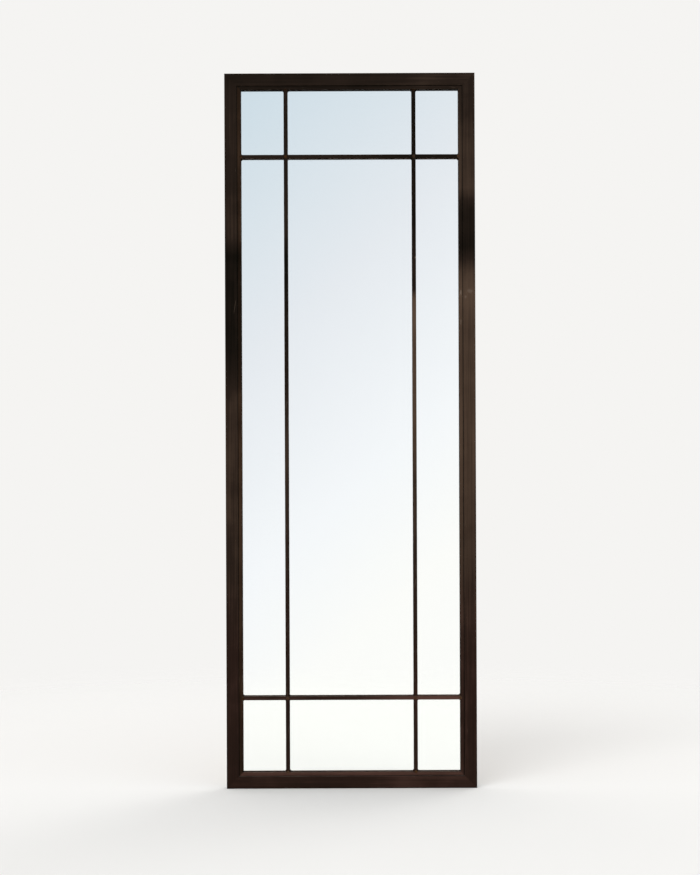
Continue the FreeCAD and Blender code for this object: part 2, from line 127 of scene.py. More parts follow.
def settle():
    """Object mode with nothing selected."""
    if bpy.context.mode != "OBJECT":
        bpy.ops.object.mode_set(mode="OBJECT")
    bpy.ops.object.select_all(action="DESELECT")


def take_up(piece):
    """Makes the piece the one that the next operators work on."""
    settle()
    bpy.context.view_layer.objects.active = piece
    piece.select_set(True)


def add_object(name, operator, **settings):
    """The object that an operator adds, under this name."""
    settle()
    operator(**settings)
    made = bpy.context.object
    made.name = name
    return made


def hold_still():
    """Puts the active piece's place, turn and scale into its mesh."""
    bpy.ops.object.transform_apply(location=True, rotation=True, scale=True)


def pick(piece, kind, wanted):
    """Edit mode with only the wanted vertices, edges or faces selected."""
    bpy.ops.object.mode_set(mode="EDIT")
    bpy.ops.mesh.select_mode(type=kind)
    bpy.ops.mesh.select_all(action="DESELECT")
    bpy.ops.object.mode_set(mode="OBJECT")
    points = piece.data.vertices
    if kind == "VERT":
        for point in points:
            point.select = wanted(point.co)
    elif kind == "EDGE":
        for edge in piece.data.edges:
            edge.select = wanted(points[edge.vertices[0]].co, points[edge.vertices[1]].co)
    else:
        for face in piece.data.polygons:
            face.select = wanted(face.center, face.normal)
    bpy.ops.object.mode_set(mode="EDIT")


def done_picking():
    """Leaves edit mode."""
    bpy.ops.object.mode_set(mode="OBJECT")


def pick_all():
    """Edit mode with the whole mesh of the active piece selected."""
    bpy.ops.object.mode_set(mode="EDIT")
    bpy.ops.mesh.select_all(action="SELECT")


def finish_with(piece, kind, **settings):
    """Adds a modifier with these settings and applies it."""
    take_up(piece)
    bpy.ops.object.modifier_add(type=kind)
    modifier = piece.modifiers[-1]
    for setting, value in settings.items():
        setattr(modifier, setting, value)
    bpy.ops.object.modifier_apply(modifier=modifier.name)


def face_outwards(piece):
    """Merges doubled points and turns every normal outwards."""
    take_up(piece)
    pick_all()
    bpy.ops.mesh.remove_doubles(threshold=DOUBLED)
    bpy.ops.mesh.normals_make_consistent(inside=False)
    done_picking()


def smooth_faces(piece, angle=32):
    """Smooth shading that keeps the flat faces flat."""
    take_up(piece)
    bpy.ops.object.shade_smooth_by_angle(angle=math.radians(angle))
    finish_with(piece, "WEIGHTED_NORMAL", keep_sharp=True)


def add_box(name, low, high):
    """A box between two corners."""
    piece = add_object(name, bpy.ops.mesh.primitive_cube_add, size=1, location=(low + high) / 2,
                       scale=high - low)
    hold_still()
    return piece


def add_round(name, radius, depth, place=(0, 0, 0), vertices=32):
    """A cylinder along Y with its middle at a place."""
    piece = add_object(name, bpy.ops.mesh.primitive_cylinder_add, vertices=vertices, radius=radius,
                       depth=depth, location=place, rotation=ALONG_Y)
    hold_still()
    return piece


def centre_of(node):
    """The middle of the box round a CAD node."""
    low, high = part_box(node)
    return (low + high) / 2


def cut_away(piece, cutter):
    """Takes the cutter's shape out of the piece."""
    finish_with(piece, "BOOLEAN", operation="DIFFERENCE", solver="EXACT", object=cutter)
    bpy.data.objects.remove(cutter)


def placed_copy(pattern, name, place, turn=0.0):
    """A copy with a mesh of its own, turned about Y and set at a place."""
    take_up(pattern)
    bpy.ops.object.duplicate(linked=False)
    made = bpy.context.object
    made.name = name
    made.location = place
    made.rotation_euler = (0, turn, 0)
    hold_still()
    return made


def join_pieces(pieces, name):
    """One object from several loose lumps of the same kind."""
    settle()
    for piece in pieces:
        piece.select_set(True)
    bpy.context.view_layer.objects.active = pieces[0]
    bpy.ops.object.join()
    pieces[0].name = name
    return pieces[0]


def runs_along(axis):
    """A test for edges that run along an axis."""
    def test(first, second):
        step = second - first
        return step.length > 0 and abs(step.dot(axis)) > PARALLEL * step.length
    return test


# Pieces of the frame and lattice

def rounded_length(name, node, axis, round_over, cuts):
    """A square length of steel with rounded arrises, divided along its length."""
    low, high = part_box(node)
    piece = add_box(name, low, high)
    pick(piece, "EDGE", runs_along(axis))
    bpy.ops.mesh.bevel(offset=round_over, segments=4, profile=0.5, affect="EDGES")
    done_picking()
    pick(piece, "EDGE", runs_along(axis))
    bpy.ops.mesh.subdivide(number_cuts=cuts)
    done_picking()
    return piece


def mitre(piece, corner, along, inwards):
    """Cuts one end at the mitre through an outer corner and breaks the edge of the seam."""
    normal = (along + inwards).normalized()
    pick_all()
    bpy.ops.mesh.bisect(plane_co=corner, plane_no=normal, use_fill=True, clear_outer=True)
    done_picking()

    def on_seam(first, second):
        return max(abs((first - corner).dot(normal)), abs((second - corner).dot(normal))) < NEAR

    pick(piece, "EDGE", on_seam)
    bpy.ops.mesh.bevel(offset=SEAM_BREAK, segments=2, affect="EDGES")
    done_picking()


def mitred_length(name, node, axis, inwards, round_over):
    """One side of the frame or of the bead, mitred at both ends."""
    low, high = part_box(node)
    piece = rounded_length(name, node, axis, round_over, cuts=40)
    outer = low if inwards.dot(X + Z) > 0 else high
    for end in (low, high):
        corner = outer.copy()
        if axis == Z:
            corner.z = end.z
        else:
            corner.x = end.x
        along = axis if end is high else -axis
        mitre(piece, corner, along, inwards)
    face_outwards(piece)
    smooth_faces(piece)
    return piece


def uneven(piece, texture, strength):
    """Slight unevenness of hand work."""
    finish_with(piece, "DISPLACE", texture=texture, texture_coords="LOCAL", direction="NORMAL",
                mid_level=0.5, strength=strength)


def lattice_bar(name, node, axis, crossed, notch_front):
    """A bar of the lattice, halved where it crosses the two bars of the other direction."""
    piece = rounded_length(name, node, axis, BAR_ROUND, cuts=60)
    low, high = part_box(node)
    for other in crossed:
        other_low, other_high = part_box(other)
        notch_low = Vector((max(low.x, other_low.x), bar_middle, max(low.z, other_low.z)))
        notch_high = Vector((min(high.x, other_high.x), bar_middle, min(high.z, other_high.z)))
        across = X if axis == Z else Z
        notch_low -= across * BAR_ROUND
        notch_high += across * BAR_ROUND
        if notch_front:
            notch_low.y = low.y - BAR_ROUND
        else:
            notch_high.y = high.y + BAR_ROUND
        cut_away(piece, add_box("notch", notch_low, notch_high))
    uneven(piece, hammer_marks, BAR_UNEVEN)
    face_outwards(piece)
    smooth_faces(piece)
    return piece


def weld_fillets(name, reach, rear):
    """Weld in the corners between bars: a square on its corner, mostly buried in the steel."""
    front = bar_low.y + BAR_ROUND
    fillets = add_round(name, reach, rear - front, (0, (front + rear) / 2, 0), vertices=4)
    finish_with(fillets, "BEVEL", width=FILLET_ROUND, segments=4, limit_method="ANGLE",
                angle_limit=SHARP)
    finish_with(fillets, "SUBSURF", subdivision_type="SIMPLE", levels=2, render_levels=2)
    return fillets


def weld_run(name, radius, front):
    """A short run of weld on the front of a joint, laid in three overlapping ripples."""
    ripples = []
    width = RIPPLE_WIDTH_SHARE * radius
    for step, height in RIPPLE_SHARES:
        ripples.append(add_object("ripple", bpy.ops.mesh.primitive_uv_sphere_add, segments=20, ring_count=10,
                                  radius=1, location=(step * radius, bar_low.y, 0),
                                  scale=(width, bar_low.y - front, height * radius)))
        hold_still()
    return join_pieces(ripples, name)


# Unevenness of the bars and of the welds
hammer_marks = bpy.data.textures.new("hammer_marks", "CLOUDS")
hammer_marks.noise_scale = BAR_MARKS
weld_ripples = bpy.data.textures.new("weld_ripples", "CLOUDS")
weld_ripples.noise_scale = WELD_MARKS

# Tubes, beads and bars, each in place of its CAD node
frame_pieces = []
for node, axis, inwards in (("left_stile", Z, X), ("right_stile", Z, -X),
                            ("bottom_rail", X, Z), ("top_rail", X, -Z)):
    tube = mitred_length(node + "_tube", node, axis, inwards, TUBE_ROUND)
    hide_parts(node)
    frame_pieces.append(tube)
for node, axis, inwards in (("left_bead", Z, X), ("right_bead", Z, -X),
                            ("bottom_bead", X, Z), ("top_bead", X, -Z)):
    bead = mitred_length(node + "_bar", node, axis, inwards, BAR_ROUND)
    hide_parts(node)
    frame_pieces.append(bead)

UPRIGHTS = ("left_bar", "right_bar")
LEVELS = ("upper_bar", "lower_bar")
for node in UPRIGHTS:
    bar = lattice_bar(node + "_square", node, Z, LEVELS, notch_front=True)
    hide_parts(node)
    frame_pieces.append(bar)
for node in LEVELS:
    bar = lattice_bar(node + "_square", node, X, UPRIGHTS, notch_front=False)
    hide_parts(node)
    frame_pieces.append(bar)

# Welds at the crossings and at the ends of the bars
upright_places = [centre_of(node).x for node in UPRIGHTS]
level_places = [centre_of(node).z for node in LEVELS]
sight_half = -bead_high.x
sight_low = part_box("bottom_bead")[1].z
sight_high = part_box("top_bead")[0].z
crossings = [Vector((x, 0, z)) for x in upright_places for z in level_places]
bar_ends = [Vector((x, 0, z)) for x in upright_places for z in (sight_low, sight_high)]
bar_ends += [Vector((x, 0, z)) for x in (-sight_half, sight_half) for z in level_places]

weld_low, weld_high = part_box("crossing_welds")
spot_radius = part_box("bar_end_welds")[1].x - sight_half
crossing_reach = weld_high.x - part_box("right_bar")[1].x + bar_width
end_reach = bar_width / 2 + END_FILLET
run_pattern = weld_run("run_pattern", spot_radius, weld_low.y)
weld_pieces = []
for node, places, reach in (("crossing_welds", crossings, crossing_reach),
                            ("bar_end_welds", bar_ends, end_reach)):
    fillet_pattern = weld_fillets("fillet_pattern", reach, weld_high.y)
    lumps = []
    for place in places:
        lumps.append(placed_copy(fillet_pattern, "fillets", place))
        lumps.append(placed_copy(run_pattern, "run", place))
    bpy.data.objects.remove(fillet_pattern)
    weld = join_pieces(lumps, node + "_lumps")
    uneven(weld, weld_ripples, WELD_UNEVEN)
    face_outwards(weld)
    smooth_faces(weld, angle=80)
    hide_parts(node)
    weld_pieces.append(weld)
bpy.data.objects.remove(run_pattern)


# The sheet of mirror glass

glass_sheet = add_box("glass_sheet", glass_low, glass_high - SILVER_CLEAR * Y)
pick_all()
bpy.ops.mesh.bevel(offset=GLASS_ARRIS, segments=2, affect="EDGES")
done_picking()
smooth_faces(glass_sheet)
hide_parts("mirror_glass")


# Hardware on the back

def pan_head_screw(name, node, head_radius, shank_radius):
    """A screw along Y with a domed head and a cross recess, its head's underside at the origin."""
    low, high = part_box(node)
    length = high.y - low.y - HEAD_HEIGHT
    screw = add_round(name, shank_radius, length, (0, -length / 2, 0))
    pick(screw, "FACE", lambda centre, normal: normal.y > FACING)
    bpy.ops.mesh.extrude_region_move()
    swell = head_radius / shank_radius
    bpy.ops.transform.resize(value=(swell, 1, swell), center_override=(0, 0, 0))
    bpy.ops.mesh.extrude_region_move(TRANSFORM_OT_translate={"value": (0, HEAD_HEIGHT, 0)})
    done_picking()

    def on_rim(first, second):
        return min(first.y, second.y) > HEAD_HEIGHT - NEAR

    pick(screw, "EDGE", on_rim)
    bpy.ops.mesh.bevel(offset=HEAD_DOME, segments=5, profile=0.5, affect="EDGES")
    done_picking()
    slot_half = SLOT_REACH_SHARE * head_radius
    slot_width = SLOT_WIDTH_SHARE * head_radius
    slot_floor = SLOT_FLOOR_SHARE * HEAD_HEIGHT
    for half_x, half_z in ((slot_half, slot_width), (slot_width, slot_half)):
        corner = Vector((half_x, 0, half_z))
        cut_away(screw, add_box("recess", slot_floor * Y - corner, 2 * HEAD_HEIGHT * Y + corner))
    face_outwards(screw)
    finish_with(screw, "BEVEL", width=SLOT_EDGE, segments=2, limit_method="ANGLE", angle_limit=SHARP)
    smooth_faces(screw)
    return screw


def turn_button(name, reach, head_radius, tip_radius, thickness, hole_radius):
    """A flat teardrop along +X, its hole at the origin, stamped from sheet."""
    head = add_round("head", head_radius, thickness, vertices=48)
    tip = add_round("tip", tip_radius, thickness, (reach - tip_radius, 0, 0), vertices=48)
    button = join_pieces([head, tip], name)
    pick_all()
    bpy.ops.mesh.convex_hull()
    bpy.ops.mesh.select_all(action="SELECT")
    bpy.ops.mesh.dissolve_limited(angle_limit=FLAT)
    done_picking()
    cut_away(button, add_round("drill", hole_radius, 3 * thickness))
    finish_with(button, "BEVEL", width=STAMPED_EDGE, segments=3, limit_method="ANGLE", angle_limit=SHARP)
    face_outwards(button)
    smooth_faces(button)
    return button


def strap_with_eye(name, node, eye, thickness, holes, hole_radius):
    """A strap with a rounded foot, two holes and an eye rolled over the ring."""
    low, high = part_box(node)
    half_width = (high.x - low.x) / 2
    plate_middle = low.y + thickness / 2
    strap = add_object(name, bpy.ops.mesh.primitive_plane_add, size=1, rotation=(math.pi / 2, 0, 0),
                       location=(eye.x, plate_middle, (low.z + eye.z) / 2))
    strap.scale = (2 * half_width, eye.z - low.z, 1)
    hold_still()
    pick(strap, "VERT", lambda point: point.z < eye.z - half_width)
    bpy.ops.mesh.bevel(offset=half_width - NEAR, segments=10, affect="VERTICES")
    done_picking()
    pick(strap, "EDGE", lambda first, second: min(first.z, second.z) > eye.z - NEAR)
    bpy.ops.mesh.spin(steps=24, angle=EYE_WRAP, center=eye, axis=X)
    done_picking()
    finish_with(strap, "SOLIDIFY", thickness=thickness, offset=0)
    for drop in holes:
        place = (eye.x, plate_middle, eye.z - drop)
        cut_away(strap, add_round("drill", hole_radius, 4 * thickness, place))
    finish_with(strap, "BEVEL", width=ROLLED_EDGE, segments=2, limit_method="ANGLE", angle_limit=SHARP)
    face_outwards(strap)
    smooth_faces(strap)
    return strap


def wire_ring(name, node, eye):
    """A D-ring bent from wire, swept from the middle of its bar to the middle of its bow."""
    low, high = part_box(node)
    wire_radius = (high.y - low.y) / 2
    bow_radius = (high.x - low.x) / 2 - wire_radius
    bow_centre = low.z + wire_radius + bow_radius
    straight = bow_radius - RING_BEND
    ring = add_object(name, bpy.ops.mesh.primitive_circle_add, vertices=20, radius=wire_radius,
                      fill_type="NOTHING", location=eye, rotation=(0, math.pi / 2, 0))
    bpy.ops.object.transform_apply(location=False, rotation=True, scale=True)
    pick_all()
    bpy.ops.mesh.extrude_region_move(TRANSFORM_OT_translate={"value": (straight, 0, 0)})
    bpy.ops.mesh.spin(steps=8, angle=math.pi / 2, center=eye + straight * X - RING_BEND * Z, axis=-Y)
    bpy.ops.mesh.extrude_region_move(
        TRANSFORM_OT_translate={"value": (0, 0, bow_centre - eye.z + RING_BEND)})
    bpy.ops.mesh.spin(steps=16, angle=math.pi / 2, center=(eye.x, eye.y, bow_centre), axis=-Y)
    done_picking()
    finish_with(ring, "MIRROR", use_axis=(True, False, False), merge_threshold=NEAR)
    take_up(ring)
    hold_still()
    face_outwards(ring)
    smooth_faces(ring, angle=60)
    return ring


def bumper_stud(name, height, base_radius, top_radius):
    """A rubber stud along Y with a rounded rim and a dished face, its base at the origin."""
    stud = add_object(name, bpy.ops.mesh.primitive_cone_add, vertices=48, radius1=base_radius,
                      radius2=top_radius, depth=height, location=height / 2 * Y, rotation=ALONG_Y)
    hold_still()
    pick(stud, "FACE", lambda centre, normal: normal.y > FACING)
    bpy.ops.mesh.inset(thickness=DISH_RIM_SHARE * top_radius)
    bpy.ops.mesh.extrude_region_move(TRANSFORM_OT_translate={"value": (0, -DISH_DEPTH_SHARE * height, 0)})
    bpy.ops.transform.resize(value=(DISH_TAPER_SHARE, 1, DISH_TAPER_SHARE), center_override=(0, height, 0))
    done_picking()

    def on_rims(first, second):
        around = abs((first - second).dot((first + second) / 2 - height * Y)) < SQUARE
        return min(first.y, second.y) > height - NEAR and around

    pick(stud, "EDGE", on_rims)
    bpy.ops.mesh.bevel(offset=BUMPER_RIM, segments=4, affect="EDGES")
    done_picking()
    pick(stud, "EDGE", lambda first, second: max(first.y, second.y) < NEAR)
    bpy.ops.mesh.bevel(offset=BUMPER_FOOT, segments=3, affect="EDGES")
    done_picking()
    face_outwards(stud)
    smooth_faces(stud)
    return stud


# Joints of the moving pieces
joints = {joint["child"]: joint for joint in frame["joints"]}
button_nodes = sorted(name for name in joints if name.startswith("turn_button"))
SIDES = ("left", "right")

# Turn buttons, each set on its pivot and turned to where the CAD has it
button_low, button_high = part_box("turn_button_left_1")
button_thickness = button_high.y - button_low.y
head_radius = (button_high.z - button_low.z) / 2
button_reach = button_high.x - button_low.x - head_radius
button_pattern = turn_button("button_pattern", button_reach, head_radius, BUTTON_TIP, button_thickness,
                             SCREW_HOLE)
button_pieces = []
for node in button_nodes:
    pivot = Vector(joints[node]["pos_m"])
    middle = centre_of(node)
    turn = math.atan2(pivot.z - middle.z, middle.x - pivot.x)
    button = placed_copy(button_pattern, node + "_plate", (pivot.x, middle.y, pivot.z), turn)
    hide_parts(node)
    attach(button, node)
    button_pieces.append(button)
bpy.data.objects.remove(button_pattern)

# Screws, each turned by its own amount
screw_pattern = pan_head_screw("screw_pattern", "button_screws", SCREW_HEAD, SCREW_SHANK)
screw_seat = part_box("button_screws")[1].y - HEAD_HEIGHT
screws = []
for number, node in enumerate(button_nodes):
    pivot = Vector(joints[node]["pos_m"])
    place = (pivot.x, screw_seat, pivot.z)
    screws.append(placed_copy(screw_pattern, "screw", place, SCREW_TURN * number))
button_screws = join_pieces(screws, "button_screw_set")
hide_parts("button_screws")

# Hangers, modelled on the left and copied to the right
hanger_low, hanger_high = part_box("hanger_screws")
hanger_seat = hanger_high.y - HEAD_HEIGHT
eyes = {side: Vector(joints[side + "_hanger_ring"]["pos_m"]) for side in SIDES}
left_eye = eyes["left"]
hole_drops = [left_eye.z - hanger_high.z + SCREW_HEAD, left_eye.z - hanger_low.z - SCREW_HEAD]
strap_pattern = strap_with_eye("strap_pattern", "left_hanger_strap", left_eye, hanger_seat - frame_rear,
                               hole_drops, SCREW_HOLE)
ring_pattern = wire_ring("ring_pattern", "left_hanger_ring", left_eye)
hanger_pieces = []
screws = []
for side, eye in eyes.items():
    strap = placed_copy(strap_pattern, side + "_strap", eye - left_eye)
    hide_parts(side + "_hanger_strap")
    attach(strap, "mirror")
    ring = placed_copy(ring_pattern, side + "_ring", eye - left_eye)
    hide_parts(side + "_hanger_ring")
    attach(ring, side + "_hanger_ring")
    hanger_pieces += [strap, ring]
    for number, drop in enumerate(hole_drops):
        place = (eye.x, hanger_seat, eye.z - drop)
        turn = FIRST_TURN + HANGER_SCREW_TURN * number + eye.x
        screws.append(placed_copy(screw_pattern, "screw", place, turn))
hanger_screws = join_pieces(screws, "hanger_screw_set")
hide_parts("hanger_screws")
for pattern in (strap_pattern, ring_pattern, screw_pattern):
    bpy.data.objects.remove(pattern)

# Bumpers near the four corners
bumper_low, bumper_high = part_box("wall_bumpers")
stud_pattern = bumper_stud("stud_pattern", bumper_high.y - bumper_low.y, BUMPER_BASE, BUMPER_TOP)
studs = []
for x in (bumper_low.x + BUMPER_BASE, bumper_high.x - BUMPER_BASE):
    for z in (bumper_low.z + BUMPER_BASE, bumper_high.z - BUMPER_BASE):
        studs.append(placed_copy(stud_pattern, "stud", (x, bumper_low.y, z)))
bpy.data.objects.remove(stud_pattern)
bumpers = join_pieces(studs, "wall_bumper_studs")
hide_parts("wall_bumpers")

for piece in frame_pieces + weld_pieces + [glass_sheet, button_screws, hanger_screws, bumpers]:
    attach(piece, "mirror")


# Building materials

NOISE_SPAN = (0.3, 0.7)


def set_inputs(tree, node, inputs):
    """Sets each input to a value or links it from an output."""
    for name, value in inputs.items():
        if isinstance(value, bpy.types.NodeSocket):
            tree.links.new(value, node.inputs[name])
        else:
            node.inputs[name].default_value = value


def add_node(tree, kind, inputs=None, **settings):
    """A node with these settings and inputs."""
    node = tree.nodes.new("ShaderNode" + kind)
    for setting, value in settings.items():
        setattr(node, setting, value)
    set_inputs(tree, node, inputs or {})
    return node


def new_group(name, inputs, outputs):
    """An empty node group with named inputs and outputs."""
    group = bpy.data.node_groups.new(name, "ShaderNodeTree")
    for socket, (kind, value) in inputs.items():
        made = group.interface.new_socket(socket, in_out="INPUT", socket_type="NodeSocket" + kind)
        made.default_value = value
    for socket in outputs:
        group.interface.new_socket(socket, in_out="OUTPUT", socket_type="NodeSocketFloat")
    return group, group.nodes.new("NodeGroupInput"), group.nodes.new("NodeGroupOutput")


def use_group(tree, group, **inputs):
    """The group as a node in a material, with its inputs set."""
    inputs = {name.capitalize(): value for name, value in inputs.items()}
    return add_node(tree, "Group", inputs, node_tree=group)


def new_material(name):
    """A material with its Principled shader linked, and nothing else."""
    material = bpy.data.materials.new(name)
    material.use_nodes = True
    tree = material.node_tree
    return material, tree, tree.nodes["Principled BSDF"]


def ramp(tree, factor, stops):
    """A colour ramp with these stops."""
    node = add_node(tree, "ValToRGB", {"Fac": factor})
    points = node.color_ramp.elements
    points[0].position, points[1].position = stops[0][0], stops[-1][0]
    for position, colour in stops[1:-1]:
        points.new(position)
    for point, (position, colour) in zip(points, stops):
        point.position = position
        point.color = (*colour, 1)
    return node.outputs["Color"]


def blend_colours(tree, factor, first, second):
    """Mixes two colours, each a value or an output."""
    def as_input(colour):
        return colour if isinstance(colour, bpy.types.NodeSocket) else (*colour, 1)

    inputs = {0: factor, 6: as_input(first), 7: as_input(second)}
    return add_node(tree, "Mix", inputs, data_type="RGBA").outputs[2]


def calculate(tree, operation, first, second):
    """One step of arithmetic."""
    return add_node(tree, "Math", {0: first, 1: second}, operation=operation).outputs[0]


def spread(tree, value, low, high, to_low=0.0, to_high=1.0, kind="SMOOTHSTEP"):
    """Takes a value from one range to another, held at both ends."""
    inputs = {"Value": value, "From Min": low, "From Max": high, "To Min": to_low, "To Max": to_high}
    return add_node(tree, "MapRange", inputs, interpolation_type=kind).outputs["Result"]


def surface_place(tree):
    """Where a point is on the piece."""
    return add_node(tree, "TexCoord").outputs["Object"]


def noise(tree, place, scale, detail=4, roughness=0.55):
    """A cloudy pattern, with about this many clouds to the metre."""
    inputs = {"Vector": place, "Scale": scale, "Detail": detail, "Roughness": roughness}
    return add_node(tree, "TexNoise", inputs).outputs["Fac"]


def vary(tree, pattern, low, high, kind="SMOOTHSTEP"):
    """Takes the usual span of a noise to a range of values."""
    return spread(tree, pattern, *NOISE_SPAN, low, high, kind)


def bump(tree, height, distance, strength, under=None):
    """Relief of this depth, on top of another where one is given."""
    inputs = {"Height": height, "Distance": distance, "Strength": strength}
    if under is not None:
        inputs["Normal"] = under
    return add_node(tree, "Bump", inputs).outputs["Normal"]


# Effects that several finishes share, with the ranges over which each one sets in

EDGE_TURNS = (0.995, 0.90)
EDGE_BREAKS = (0.38, 0.66)
SCRATCH_LINES = (0.80, 0.86)
SCRATCH_PATCHES = (0.5, 0.6)
SPOTS = (0.72, 0.80)
SPOT_PATCHES = (0.5, 0.65)
# Painted shade in grooves: the occlusion over which it sets in, and how dark it gets at most
GROOVE_SHADE_SPAN = (0.95, 0.6)
GROOVE_SHADE_MOST = 0.92
LEDGES = (0.25, 0.95)
DUST_PATCHES = (0.35, 0.65)
DUST_AMOUNTS = (0.45, 0.9)
OPEN_AIR = (0.6, 0.95)

# Slants of the scratches in radians, with how many patches of them to the metre
SCRATCH_SLANTS = ((0.05, 27), (-0.16, 34))


def make_worn_edges():
    """How near a point is to an outer edge, broken up."""
    group, given, result = new_group("worn_edges", {"Reach": ("Float", 2 * MM)}, ("Mask",))
    rounded = add_node(group, "Bevel", {"Radius": given.outputs["Reach"]}, samples=6)
    true = add_node(group, "NewGeometry")
    agree = add_node(group, "VectorMath", {0: rounded.outputs[0], 1: true.outputs["Normal"]},
                     operation="DOT_PRODUCT").outputs["Value"]
    near = spread(group, agree, *EDGE_TURNS)
    broken = spread(group, noise(group, surface_place(group), scale=70), *EDGE_BREAKS)
    set_inputs(group, result, {"Mask": calculate(group, "MULTIPLY", near, broken)})
    return group


def make_scuffs():
    """Sparse straight scratches at two slants to the length, and rubbed spots."""
    inputs = {"Stretch": ("Vector", (1, 1, 1)), "Amount": ("Float", 0.5)}
    group, given, result = new_group("scuffs", inputs, ("Scratch", "Spot"))
    place = surface_place(group)
    scratch = 0.0
    for slant, patch in SCRATCH_SLANTS:
        turned = add_node(group, "VectorRotate", {"Vector": place, "Angle": slant}, rotation_type="Y_AXIS")
        drawn = add_node(group, "Mapping", {"Vector": turned.outputs[0], "Scale": given.outputs["Stretch"]})
        line = spread(group, noise(group, drawn.outputs[0], scale=800, detail=0), *SCRATCH_LINES)
        where = spread(group, noise(group, place, scale=patch), *SCRATCH_PATCHES)
        scratch = calculate(group, "MAXIMUM", scratch, calculate(group, "MULTIPLY", line, where))
    spots = spread(group, noise(group, place, scale=190, detail=2), *SPOTS)
    where = spread(group, noise(group, place, scale=9), *SPOT_PATCHES)
    spots = calculate(group, "MULTIPLY", spots, where)
    amount = given.outputs["Amount"]
    set_inputs(group, result, {"Scratch": calculate(group, "MULTIPLY", scratch, amount),
                               "Spot": calculate(group, "MULTIPLY", spots, amount)})
    return group


def make_drawn_grain():
    """Streaks along the steel, blotches of patina, and a fine skin."""
    group, given, result = new_group("drawn_grain", {"Stretch": ("Vector", (1, 1, 1))},
                                     ("Streak", "Blotch", "Skin", "Ragged"))
    place = surface_place(group)
    drawn = add_node(group, "Mapping", {"Vector": place, "Scale": given.outputs["Stretch"]}).outputs[0]
    set_inputs(group, result, {"Streak": noise(group, drawn, scale=220, detail=3),
                               "Blotch": noise(group, place, scale=11, detail=5),
                               "Skin": noise(group, place, scale=900, detail=2),
                               "Ragged": noise(group, place, scale=260, detail=3)})
    return group


def make_groove_shade_and_dust():
    """Painted shade in the grooves, darker where ambient occlusion finds them hemmed in, and pale dust on
    faces that look up.
    """
    group, given, result = new_group("settled_dirt", {"Reach": ("Float", 6 * MM)}, ("Grime", "Dust"))
    around = add_node(group, "AmbientOcclusion", {"Distance": given.outputs["Reach"]}, samples=6)
    open_air = around.outputs["AO"]
    painted_groove_shade = spread(group, open_air, *GROOVE_SHADE_SPAN, 0.0, GROOVE_SHADE_MOST)
    facing = add_node(group, "SeparateXYZ", {"Vector": add_node(group, "NewGeometry").outputs["Normal"]})
    level = spread(group, facing.outputs["Z"], *LEDGES)
    patches = noise(group, surface_place(group), scale=38)
    dust = calculate(group, "MULTIPLY", level, spread(group, patches, *DUST_PATCHES, *DUST_AMOUNTS))
    dust = calculate(group, "MULTIPLY", dust, spread(group, open_air, *OPEN_AIR))
    set_inputs(group, result, {"Grime": painted_groove_shade, "Dust": dust})
    return group


worn_edges = make_worn_edges()
scuffs = make_scuffs()
drawn_grain = make_drawn_grain()
settled_dirt = make_groove_shade_and_dust()

# Dark, brown and light bronze, the light one both rubbed bronze and painted reflection, redder at the foot
# and warmer on the left bead, and copper brown welds
DARK_BRONZE = (0.0070, 0.0053, 0.0036)
BRONZE = (DARK_BRONZE, (0.026, 0.0158, 0.0110), (0.110, 0.066, 0.043))
FOOT_BRONZE = ((0.0072, 0.0048, 0.0038), (0.0255, 0.0130, 0.0094), (0.118, 0.057, 0.044))
WARM_BRONZE = ((0.0072, 0.0049, 0.0029), (0.0275, 0.0145, 0.0084), (0.115, 0.062, 0.035))
WELD_COPPER = ((0.014, 0.0065, 0.0030), (0.052, 0.0205, 0.0068), (0.105, 0.047, 0.018))
BARE_BRONZE = (0.20, 0.14, 0.10)
# Colour of the chips, also used for painted highlights
CHIP_AND_HIGHLIGHT = (0.30, 0.225, 0.17)
LEDGE_DUST = (0.165, 0.125, 0.098)

# Tint of light that glances off, and the far darker one of the top bead, which paints shade on it
GLANCE = (0.34, 0.25, 0.20)
DARK_GLANCE = (0.06, 0.045, 0.035)

# Tones over the height of each side, from dark to light: partly patina, partly painted reflection bands
LEFT_TONES = ((0.0, 0.28), (0.14, 0.37), (0.30, 0.43), (0.45, 0.51), (0.54, 0.50),
              (0.615, 0.04), (0.745, 0.04), (0.77, 0.42), (0.94, 0.42), (1.0, 0.27))
RIGHT_TONES = ((0.0, 0.37), (0.12, 0.40), (0.18, 0.44), (0.26, 0.56), (0.33, 0.54), (0.46, 0.75),
               (0.64, 0.72), (0.69, 0.93), (0.72, 0.70), (0.755, 0.07), (0.81, 0.18), (0.84, 0.64),
               (0.94, 0.51), (1.0, 0.40))
FRAME_SIDES = (LEFT_TONES, RIGHT_TONES)
# Tones of the upright and upper bars of the lattice, partly patina and partly painted reflection bands
LEFT_BAR_TONES = ((0.0, 0.30), (0.30, 0.38), (0.46, 0.52), (0.56, 0.34), (0.62, 0.14), (0.745, 0.05),
                  (0.78, 0.42), (0.84, 0.32), (1.0, 0.28))
RIGHT_BAR_TONES = ((0.0, 0.40), (0.30, 0.43), (0.46, 0.62), (0.55, 0.84), (0.685, 1.0), (0.70, 0.20),
                   (0.74, 0.36), (0.77, 0.12), (0.80, 0.06), (1.0, 0.06))
LATTICE_SIDES = (LEFT_BAR_TONES, RIGHT_BAR_TONES)
